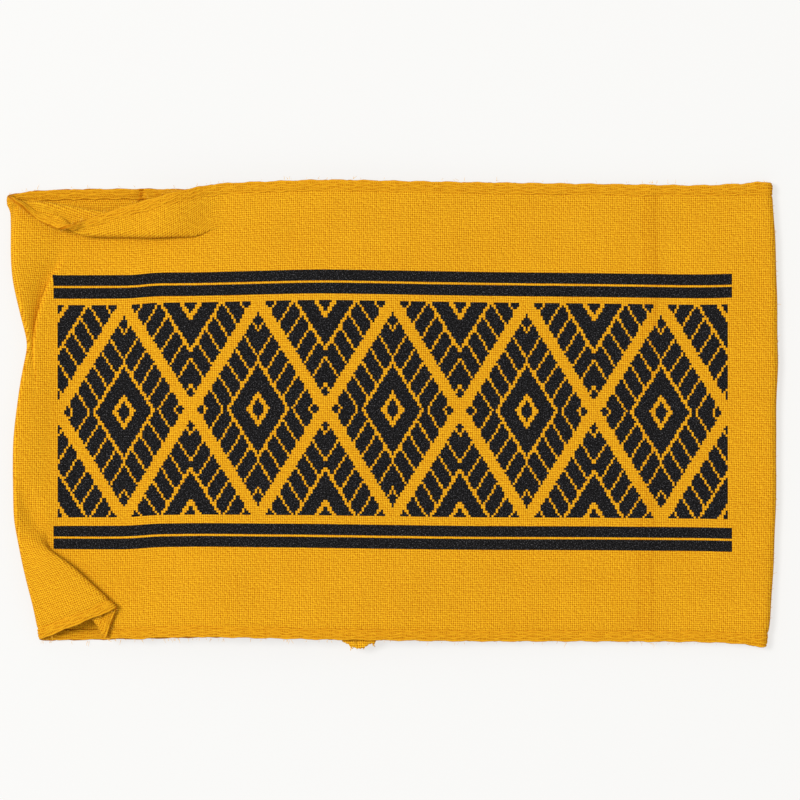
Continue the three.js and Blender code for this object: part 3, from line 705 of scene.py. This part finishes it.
def put_threads(name, start, reach, bend, radius):
    """Loose threads as four-sided tubes that taper: each runs from its start along its reach, and leaves
    that line by its bend times a half wave."""
    part = np.linspace(0, 1, THREAD_STEPS + 1)
    centre = start[:, None] + reach[:, None] * part[:, None] + bend[:, None] * np.sin(np.pi * part)[:, None]
    tangent = np.gradient(centre, axis=1)
    side = unit(np.cross(tangent, [0.0, 0.0, 1.0]))
    over = unit(np.cross(side, tangent))
    thick = (radius[:, None] * (1 - THREAD_TAPER * part))[..., None]
    corner = np.arange(THREAD_SIDES)
    angle = corner * 2 * np.pi / THREAD_SIDES
    ring = np.stack([centre + thick * (np.cos(a) * side + np.sin(a) * over) for a in angle], axis=2)
    first = np.arange(THREAD_STEPS)[:, None] * THREAD_SIDES
    here, there = first + corner, first + np.roll(corner, -1)
    tube = np.stack([here, there, there + THREAD_SIDES, here + THREAD_SIDES], axis=-1).reshape(-1, 4)
    tube = np.concatenate([tube, [corner[::-1]], [corner + THREAD_STEPS * THREAD_SIDES]])
    faces = tube + (np.arange(len(start)) * len(part) * THREAD_SIDES)[:, None, None]
    length = np.linalg.norm(reach, axis=-1)[:, None, None]
    around = np.broadcast_to(tube % THREAD_SIDES / THREAD_SIDES, (len(start), *tube.shape))
    uv = points(tube // THREAD_SIDES / THREAD_STEPS * length, around)
    return put_mesh(name, ring, faces, uv, "strand")


def make_ragged_threads():
    part = RAGGED_THREADS
    start = points(part["x"], part["y"], RAGGED_START)
    reach = points(part["end_x"] - part["x"], part["end_y"] - part["y"], -RAGGED_FALL)
    bend = points(part["bend"], 0.0, RAGGED_ARCH)
    return put_threads("ragged_threads", start, reach, bend, np.full(len(start), RAGGED_RADIUS))


HEM_FIBRES, END_FIBRES = 130, 45
SHORTEST_FIBRE, LONGEST_FIBRE = 0.2, 0.7
FIBRE_LEAN, FIBRE_BEND, FIBRE_FLATNESS = 0.7, 0.1, 0.3


def make_fibres():
    """Fine fibres that stand out all round: from both hems' edges, the pressed fold and the roll."""
    rng = np.random.default_rng(11)
    along_hems = np.sort(rng.uniform(0, COLUMNS, HEM_FIBRES))
    up_ends = np.sort(rng.uniform(1, ROWS - 2.0, END_FIBRES))
    ends = np.array([len(FRONT_COLUMNS) + 1.5, BACK_END + 1.5])
    hem_middle, _ = middle_surface(along_hems, np.array([0.0, 0.3, ROWS - 1.3, ROWS - 1.0]))
    end_middle, end_normal = middle_surface(ends, up_ends)
    starts = [hem_middle[0], hem_middle[3], end_middle[:, 0], end_middle[:, 1]]
    outwards = [
        hem_middle[0] - hem_middle[1], hem_middle[3] - hem_middle[2],
        end_normal[:, 0], end_normal[:, 1],
    ]
    start, outward = np.concatenate(starts), np.concatenate(outwards)
    outward = unit(outward * [1, 1, 0.2])
    count = len(start)
    length = rng.uniform(SHORTEST_FIBRE, LONGEST_FIBRE, (count, 1))
    lean = rng.normal(0, FIBRE_LEAN, (count, 3)) * [1, 1, FIBRE_FLATNESS]
    reach = (outward + lean * 0.8) * length
    bend = rng.normal(0, FIBRE_BEND, (count, 3)) * [1, 1, FIBRE_FLATNESS]
    return put_threads("fibres", start + 0.45 * outward, reach, bend, rng.uniform(0.03, 0.06, count))


class Graph:
    """Adds nodes to a tree. A number, a colour or another node's output can feed an input."""

    def __init__(self, tree):
        self.tree = tree

    def add(self, kind, *values, out=0, into=None, **settings):
        node = self.tree.nodes.new("ShaderNode" + kind)
        for name, value in settings.items():
            setattr(node, name, value)
        self.feed(node.inputs, {**dict(enumerate(values)), **(into or {})})
        return node.outputs[out]

    def feed(self, sockets, values):
        for name, value in values.items():
            if isinstance(value, bpy.types.NodeSocket):
                self.tree.links.new(value, sockets[name])
            else:
                sockets[name].default_value = value

    def math(self, operation, *values):
        return self.add("Math", *values, operation=operation)

    def plus(self, a, b):
        return self.math("ADD", a, b)

    def minus(self, a, b):
        return self.math("SUBTRACT", a, b)

    def times(self, a, b):
        return self.math("MULTIPLY", a, b)

    def vector(self, operation, *values):
        return self.add("VectorMath", *values, operation=operation)

    def noise(self, vector, scale, detail=2.0, roughness=0.5, out=0):
        into = {"Vector": vector, "Scale": scale, "Detail": detail, "Roughness": roughness}
        return self.add("TexNoise", out=out, into=into)

    def xy(self, vector):
        """A vector's first two parts."""
        return self.add("SeparateXYZ", vector).node.outputs[:2]

    def scaled(self, value, low, high, to_low=0.0, to_high=1.0):
        return self.add("MapRange", value, low, high, to_low, to_high)

    def colour(self, share, a, b):
        return self.add("Mix", into={0: share, 6: a, 7: b}, out=2, data_type="RGBA")

    def steps(self, value, *stops):
        """A stepped curve: each stop's value holds up to the next one."""
        node = self.tree.nodes.new("ShaderNodeValToRGB")
        ramp = node.color_ramp
        ramp.interpolation = "CONSTANT"
        while len(ramp.elements) < len(stops):
            ramp.elements.new(1.0)
        for element, (place, level) in zip(ramp.elements, stops):
            element.position = place
            element.color = (level, level, level, 1)
        self.tree.links.new(value, node.inputs[0])
        return node.outputs[0]


def group(name, inputs, outputs):
    """An empty shader group; gives its graph, the sockets that it is given and those that it fills."""
    tree = bpy.data.node_groups.new(name, "ShaderNodeTree")
    for label, kind, value in inputs:
        socket = tree.interface.new_socket(label, in_out="INPUT", socket_type="NodeSocket" + kind)
        if value is not None:
            socket.default_value = value
    for label, kind in outputs:
        tree.interface.new_socket(label, in_out="OUTPUT", socket_type="NodeSocket" + kind)
    entry, leave = tree.nodes.new("NodeGroupInput"), tree.nodes.new("NodeGroupOutput")
    return Graph(tree), entry.outputs, leave.inputs


def use_group(graph, tree, **values):
    node = graph.tree.nodes.new("ShaderNodeGroup")
    node.node_tree = tree
    graph.feed(node.inputs, values)
    return node.outputs


# The weave and the frieze, in metres on the flat cloth.
WARP_PITCH, WEFT_PITCH = 0.000555, 0.000565
LOZENGE_HALF_WIDTH, LOZENGE_HALF_HEIGHT = 0.0175, 0.028
FIELD_REACH, STRIPE_REACH, STRIPE_UNIT = 0.0875, 0.0885, 0.04
# From where on it is black, 1, or yellow, 0: outwards in a lozenge, and away from the middle line.
RINGS = (0, 1), (0.1, 0), (0.17, 1), (0.42, 0), (0.47, 1), (0.9, 0)
STRIPES = (0, 0), (0.75, 1), (0.815, 0), (0.83, 1), (0.9, 0)
# The yellow lattice over the outer rings: lines to a lozenge, each line's share, and from which ring on.
LATTICE_COUNT, LATTICE_SHARE, LATTICE_FROM = 4.0, 0.13, 0.47


def make_frieze_group():
    """Black where the frieze is woven: nested lozenges side by side, their halves between them, and two
    border stripes. Places are snapped to the threads, so every edge is stepped."""
    g, given, put = group("frieze", [("Cloth", "Vector", None)], [("Black", "Float")])
    cell = g.vector("SNAP", given["Cloth"], (WARP_PITCH, WEFT_PITCH, 1.0))
    x, y = g.xy(cell)
    from_middle = g.math("ABSOLUTE", x)
    from_line = g.math("ABSOLUTE", g.minus(y, BAND_HEIGHT / 2 * MM))
    along = g.math("DIVIDE", g.math("PINGPONG", from_middle, LOZENGE_HALF_WIDTH), LOZENGE_HALF_WIDTH)
    up = g.math("DIVIDE", from_line, LOZENGE_HALF_HEIGHT)
    ring = g.math("PINGPONG", g.plus(along, up), 1.0)
    rings = g.steps(ring, *RINGS)
    slanted = g.times(g.minus(along, up), LATTICE_COUNT)
    lattice = g.math("LESS_THAN", g.math("FRACT", slanted), LATTICE_SHARE)
    lattice = g.times(lattice, g.math("GREATER_THAN", ring, LATTICE_FROM))
    field = g.times(rings, g.minus(1.0, lattice))
    field = g.times(field, g.math("LESS_THAN", from_line, LOZENGE_HALF_HEIGHT))
    field = g.times(field, g.math("LESS_THAN", from_middle, FIELD_REACH))
    stripes = g.steps(g.math("DIVIDE", from_line, STRIPE_UNIT), *STRIPES)
    stripes = g.times(stripes, g.math("LESS_THAN", from_middle, STRIPE_REACH))
    g.feed(put, {"Black": g.math("MAXIMUM", field, stripes)})
    return g.tree


# How far the threads wander, in pitches, and the noise's scale for it.
WANDER, WANDER_SCALE = 0.6, 0.07
# How round a thread's top is, and how high it stands where it dives under the other.
ROUNDNESS, DIVE = 0.6, 0.55
# Steps in the noise from thread to thread, along a thread, and where warp and weft lie in it.
THREAD_JUMPS, THREAD_DRIFT, THREAD_NOISE = (7.31, 5.17), 0.035, (3.0, 8.0)


def make_weave_group():
    """A plain weave: warp and weft each stand high where they pass over the other, with pits between four
    threads. Every thread has a tone of its own that drifts along it."""
    g, given, put = group(
        "plain_weave",
        [("Cloth", "Vector", None), ("Floats", "Float", 0.0)],
        [("Height", "Float"), ("Pits", "Float"), ("Tone", "Float"), ("Fuzz", "Float")],
    )
    threads = g.vector("MULTIPLY", given["Cloth"], (1 / WARP_PITCH, 1 / WEFT_PITCH, 0.0))
    drift = g.noise(threads, WANDER_SCALE, 3.0, 0.75, out=1)
    drift = g.vector("MULTIPLY", drift, (2 * WANDER, 2 * WANDER, 0.0))
    drifted = g.vector("ADD", threads, g.vector("SUBTRACT", drift, (WANDER, WANDER, 0.0)))
    x, y = g.xy(drifted)
    sine_x = g.math("SINE", g.times(x, np.pi))
    sine_y = g.math("SINE", g.times(y, np.pi))
    sx, sy = g.math("ABSOLUTE", sine_x), g.math("ABSOLUTE", sine_y)
    weft_over = g.scaled(g.times(sine_x, sine_y), -0.25, 0.25)
    weft_over = g.math("MAXIMUM", weft_over, given["Floats"])
    weft = g.times(g.math("POWER", sy, ROUNDNESS), g.scaled(sx, 0, 1, DIVE, 1.0))
    warp = g.times(g.math("POWER", sx, ROUNDNESS), g.scaled(sy, 0, 1, DIVE, 1.0))
    height = g.add("Mix", into={0: weft_over, 2: warp, 3: weft}, data_type="FLOAT")
    pits = g.times(g.minus(1.0, sx), g.minus(1.0, sy))
    depth = g.add("TexWhiteNoise", g.vector("FLOOR", g.vector("ADD", drifted, (0.5, 0.5, 0.0))))
    pits = g.times(g.math("POWER", pits, 0.8), g.scaled(depth, 0, 1, 0.3, 1.5))
    warp_number = g.times(g.math("FLOOR", x), THREAD_JUMPS[0])
    weft_number = g.times(g.math("FLOOR", y), THREAD_JUMPS[1])
    up_warp, along_weft = g.times(y, THREAD_DRIFT), g.times(x, THREAD_DRIFT)
    warp_tone = g.noise(g.add("CombineXYZ", warp_number, up_warp, THREAD_NOISE[0]), 1.0, 1.0)
    weft_tone = g.noise(g.add("CombineXYZ", along_weft, weft_number, THREAD_NOISE[1]), 1.0, 1.0)
    tone = g.add("Mix", into={0: weft_over, 2: warp_tone, 3: weft_tone}, data_type="FLOAT")
    knot = g.add("TexWhiteNoise", g.vector("FLOOR", drifted))
    tone = g.plus(g.times(tone, 0.5), g.times(knot, 0.5))
    fuzz = g.noise(threads, 1.35, 3.0, 0.7)
    g.feed(put, {"Height": height, "Pits": pits, "Tone": tone, "Fuzz": fuzz})
    return g.tree


# The storage crease's painted shade in metres: its middle at both hems, how far it wanders, where its side
# lines are and its band fades, how wide its lines are, and how dark all three are painted.
CREASE_LOWER, CREASE_UPPER, CREASE_WANDER = 0.0660, 0.0677, 0.0006
CREASE_SIDE, CREASE_IN, CREASE_OUT = 0.0015, 0.0016, 0.0026
SIDE_LINE, MIDDLE_LINE = 0.0005, 0.0004
CREASE_BAND, CREASE_SIDES, CREASE_MIDDLE = 0.45, 0.55, 0.35


def make_crease_group():
    """Painted shade of the old storage crease across the front: a faint band that leans a little, with a
    finer line along each side and a third between them."""
    g, given, put = group("storage_crease_painted_shade", [("Cloth", "Vector", None)], [("Crease", "Float")])
    x, y = g.xy(given["Cloth"])
    wander = g.scaled(g.noise(given["Cloth"], 60.0, 2.0), 0.3, 0.7, -CREASE_WANDER, CREASE_WANDER)
    middle = g.plus(g.scaled(y, 0.0, BAND_HEIGHT * MM, CREASE_LOWER, CREASE_UPPER), wander)
    across = g.math("ABSOLUTE", g.minus(x, middle))
    band = g.scaled(across, CREASE_IN, CREASE_OUT, CREASE_BAND, 0.0)
    from_side = g.math("ABSOLUTE", g.minus(across, CREASE_SIDE))
    edges = g.scaled(from_side, 0.0, SIDE_LINE, CREASE_SIDES, 0.0)
    centre_line = g.scaled(across, 0.0, MIDDLE_LINE, CREASE_MIDDLE, 0.0)
    g.feed(put, {"Crease": g.plus(g.plus(band, edges), centre_line)})
    return g.tree


def new_material(name):
    material = bpy.data.materials.new(name)
    material.use_nodes = True
    graph = Graph(material.node_tree)
    shader = material.node_tree.nodes["Principled BSDF"].inputs
    graph.feed(shader, {"Specular IOR Level": 0.08})
    return material, graph, shader


YELLOW_LOW = (0.425, 0.128, 0.0, 1)
YELLOW_HIGH = (0.86, 0.465, 0.014, 1)
BLACK_LOW = (0.0005, 0.0005, 0.0005, 1)
BLACK_HIGH = (0.013, 0.012, 0.0125, 1)
PALE_SPECKS = (0.13, 0.128, 0.136, 1)
FLUFF = (0.86, 0.47, 0.05, 1)
# How far the threads' tone, the fuzz and the mottle move the yellow up and down, and how much painted shade
# the pits and the crease take from it.
TONE_REACH, FUZZ_REACH, MOTTLE_REACH = 0.11, 0.3, 0.03
PITS_PAINTED_SHADE, CREASE_PAINTED_SHADE = 0.7, 0.14
# What the fuzz and the black threads add to the bumps.
FUZZ_BUMP, BLACK_BUMP = 0.4, 0.8


def make_wool(name, weave, frieze=None, crease=None, shade=0.0):
    """Mustard wool in plain weave, with the frieze's black threads floating over it where it has one."""
    material, g, shader = new_material(name)
    cloth = g.add("UVMap", uv_map="cloth")
    black = use_group(g, frieze, Cloth=cloth)["Black"] if frieze else 0.0
    woven = use_group(g, weave, Cloth=cloth, Floats=black)
    mottle = g.noise(g.vector("MULTIPLY", g.add("TexCoord", out=3), (1.0, 2.4, 1.0)), 45.0, 4.0, 0.6)
    # Painted shade of the weave: thread tops lighter, and darker where they dive under.
    level = g.scaled(woven["Height"], 0.3, 1.0, 0.4, 0.77)
    level = g.plus(level, g.scaled(woven["Tone"], 0.2, 0.8, -TONE_REACH, TONE_REACH))
    level = g.plus(level, g.scaled(woven["Fuzz"], 0.3, 0.7, -FUZZ_REACH, FUZZ_REACH))
    level = g.plus(level, g.scaled(mottle, 0.3, 0.7, -MOTTLE_REACH, MOTTLE_REACH))
    # Painted shade in the pits between the threads.
    level = g.add("Clamp", g.minus(level, g.times(woven["Pits"], PITS_PAINTED_SHADE)))
    # Painted shade: a positive shade darkens the whole material, a negative one is painted light that
    # brightens it.
    level = g.times(level, 1 - shade)
    if frieze:
        # Painted shade along the storage crease.
        crease_painted_shade = use_group(g, crease, Cloth=cloth)["Crease"]
        level = g.minus(level, g.times(crease_painted_shade, CREASE_PAINTED_SHADE))
    colour = g.colour(level, YELLOW_LOW, YELLOW_HIGH)
    if frieze:
        # Fine pale grey specks over the black.
        specks = g.noise(cloth, 3000.0, 3.0, 0.7)
        dark = g.colour(g.scaled(woven["Fuzz"], 0.38, 0.68), BLACK_LOW, BLACK_HIGH)
        dark = g.colour(g.scaled(specks, 0.56, 0.68, 0.0, 0.8), dark, PALE_SPECKS)
        colour = g.colour(black, colour, dark)
    roughness = g.scaled(woven["Fuzz"], 0, 1, 0.82, 1.0)
    bumps = g.minus(woven["Height"], woven["Pits"])
    bumps = g.plus(bumps, g.times(woven["Fuzz"], FUZZ_BUMP))
    if frieze:
        bumps = g.plus(bumps, g.times(black, BLACK_BUMP))
    bump = g.add("Bump", into={"Strength": 0.6, "Distance": 0.00014, "Height": bumps})
    g.feed(shader, {"Base Color": colour, "Roughness": roughness, "Normal": bump})
    return material


def make_yarn(name):
    """Loose wool thread: painted highlight along its crown, painted shade down its sides, and short fibres
    along it.
    """
    material, g, shader = new_material(name)
    strand = g.add("UVMap", uv_map="strand")
    _, ring = g.xy(strand)
    # Painted highlight on the crown and painted shade down the sides, from the place round the ring.
    crown = g.math("COSINE", g.times(g.minus(ring, STRAND_CROWN), 2 * np.pi / MM))
    fibres = g.noise(g.vector("MULTIPLY", strand, (900.0, 6000.0, 0.0)), 1.0, 3.0, 0.6)
    level = g.plus(g.scaled(crown, 0.0, 1, 0.14, 0.54), g.scaled(fibres, 0.3, 0.7, -0.22, 0.22))
    colour = g.colour(g.add("Clamp", level), YELLOW_LOW, YELLOW_HIGH)
    bump = g.add("Bump", into={"Strength": 0.5, "Distance": 0.0001, "Height": fibres})
    g.feed(shader, {"Base Color": colour, "Roughness": 0.9, "Normal": bump})
    return material


def make_fluff(name):
    """Single fibres, too thin to show more than one pale tone."""
    material, g, shader = new_material(name)
    g.feed(shader, {"Base Color": FLUFF, "Roughness": 0.95})
    return material


weave = make_weave_group()
frieze_wool = make_wool("wool_with_frieze", weave, make_frieze_group(), make_crease_group())
# The hems' cloth carries painted shade under and between their strands; the seam's tongue carries painted
# light against the hem's shadow over it.
hem_wool_painted_shade = make_wool("wool_hem_painted_shade", weave, shade=0.25)
seam_wool_painted_light = make_wool("wool_seam_painted_light", weave, shade=-0.2)
yarn_painted_light_and_shade = make_yarn("wool_yarn_painted_light_and_shade")
fluff = make_fluff("wool_fluff")

band = make_band()
lower_hem = make_hem("lower_hem_cloth", 0, -1)
upper_hem = make_hem("upper_hem_cloth", ROWS - 2, 1)
lower_strands = make_hem_strands("lower_hem_strands", 0, -1)
upper_strands = make_hem_strands("upper_hem_strands", ROWS - 2, 1)
seam_allowance = make_seam_allowance()
ragged_threads = make_ragged_threads()
fibres = make_fibres()

for piece, material in (
    (band, frieze_wool), (lower_hem, hem_wool_painted_shade), (upper_hem, hem_wool_painted_shade),
    (lower_strands, yarn_painted_light_and_shade), (upper_strands, yarn_painted_light_and_shade), (seam_allowance, seam_wool_painted_light),
    (ragged_threads, fluff), (fibres, fluff),
):
    piece.data.materials.append(material)

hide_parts("band")
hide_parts("lower_hem")
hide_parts("upper_hem")
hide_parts("back_seam")

TABLE_GLOW, SKY_STRENGTH, KEY_POWER = 0.685, 0.66, 73.0
# The photo's width in metres, and its middle on the plan in mm.
PHOTO_WIDTH = 0.2086
PHOTO_MIDDLE = np.array([2.2, 3.9, 3.0])


def make_table_top():
    """A white square that glows, as bright as the surface in the photo."""
    mesh = bpy.data.meshes.new("table_top")
    reach = 3.0
    corners = [(-reach, -reach, 0), (reach, -reach, 0), (reach, reach, 0), (-reach, reach, 0)]
    mesh.from_pydata(corners, [], [(0, 1, 2, 3)])
    top = bpy.data.objects.new("table_top", mesh)
    bpy.context.scene.collection.objects.link(top)
    material, g, shader = new_material("table_white")
    g.feed(shader, {
        "Base Color": (0.2, 0.199, 0.195, 1), "Roughness": 0.9,
        "Emission Color": (1.0, 0.995, 0.98, 1), "Emission Strength": TABLE_GLOW,
    })
    mesh.materials.append(material)


def make_light(name, place, turn, size, power):
    """A round white light, turned by three angles in degrees."""
    data = bpy.data.lights.new(name, "AREA")
    data.shape, data.size, data.energy = "DISK", size, power
    light = bpy.data.objects.new(name, data)
    light.location = place
    light.rotation_euler = np.radians(turn)
    bpy.context.scene.collection.objects.link(light)


def make_camera():
    """Straight down over the middle of the photograph, far off with a long lens."""
    data = bpy.data.cameras.new("camera")
    data.lens, data.sensor_width = 200, 36
    data.clip_end = 10
    camera = bpy.data.objects.new("camera", data)
    distance = PHOTO_WIDTH * data.lens / data.sensor_width
    camera.location = (PHOTO_MIDDLE + PLAN_SHIFT) * MM + np.array([0, 0, distance])
    bpy.context.scene.collection.objects.link(camera)
    bpy.context.scene.camera = camera


make_table_top()
make_camera()
make_light("key", (-1.5, 0.5, 2.5), (-11.2, -30.4, 0), 1.1, KEY_POWER)
world = bpy.data.worlds.new("studio")
world.use_nodes = True
sky = world.node_tree.nodes["Background"].inputs
Graph(world.node_tree).feed(sky, {"Color": (1, 1, 1, 1), "Strength": SKY_STRENGTH})
bpy.context.scene.world = world
bpy.context.scene.view_settings.view_transform = "Standard"
